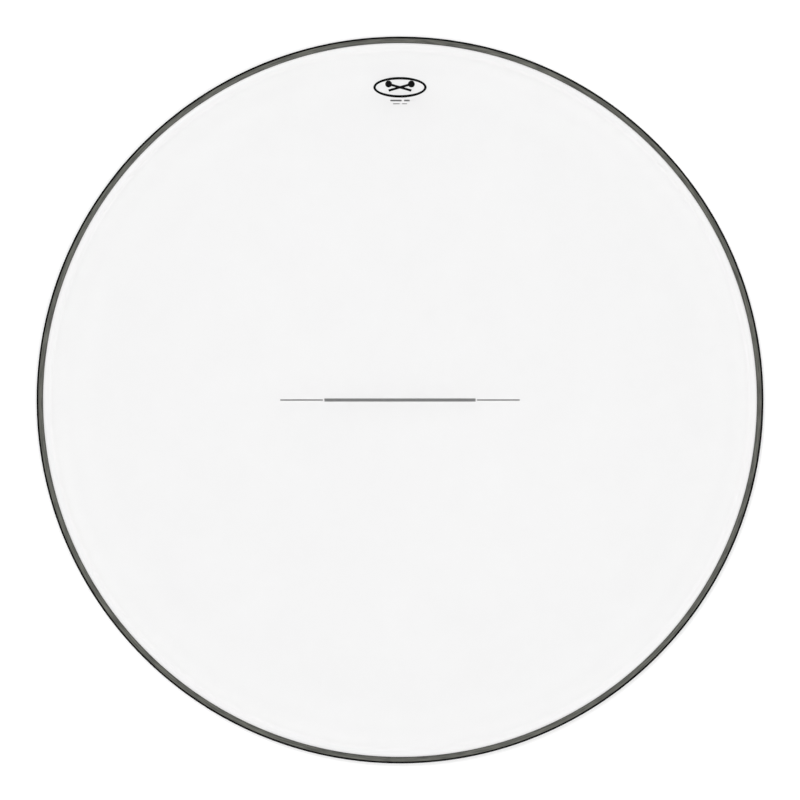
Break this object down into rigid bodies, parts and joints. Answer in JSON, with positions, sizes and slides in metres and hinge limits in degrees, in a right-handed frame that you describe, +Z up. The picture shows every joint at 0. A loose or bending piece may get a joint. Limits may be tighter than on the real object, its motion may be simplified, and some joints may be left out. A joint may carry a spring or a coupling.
{
  "type": "timpani drumhead",
  "caption": "Round timpani drumhead: hazy polyester film with a formed collar, locked by resin into a slim black channel hoop, with a printed centre line.",
  "frame": {"origin": "on the drumhead's axis, in the plane of the hoop's underside, so at the bottom centre of its box", "axes": "+Z up, from the bowl towards the playing side; +Y towards the printed emblem; +X along the printed centre line"},
  "size_m": [0.813, 0.813, 0.016],
  "materials": {
    "hazy_film": "satin",
    "black_channel": "satin",
    "plated_steel": "satin",
    "grey_resin": "satin",
    "grey_ink": "matte",
    "black_ink": "matte",
    "pale_grey_ink": "matte"
  },
  "bodies": {
    "root": {"film_membrane": "hazy_film", "hoop_channel": "black_channel", "steel_insert_ring": "plated_steel", "resin_lock": "grey_resin", "centre_line_print": "grey_ink", "emblem_print": "black_ink", "caption_print": "pale_grey_ink"}
  },
  "joints": []
}
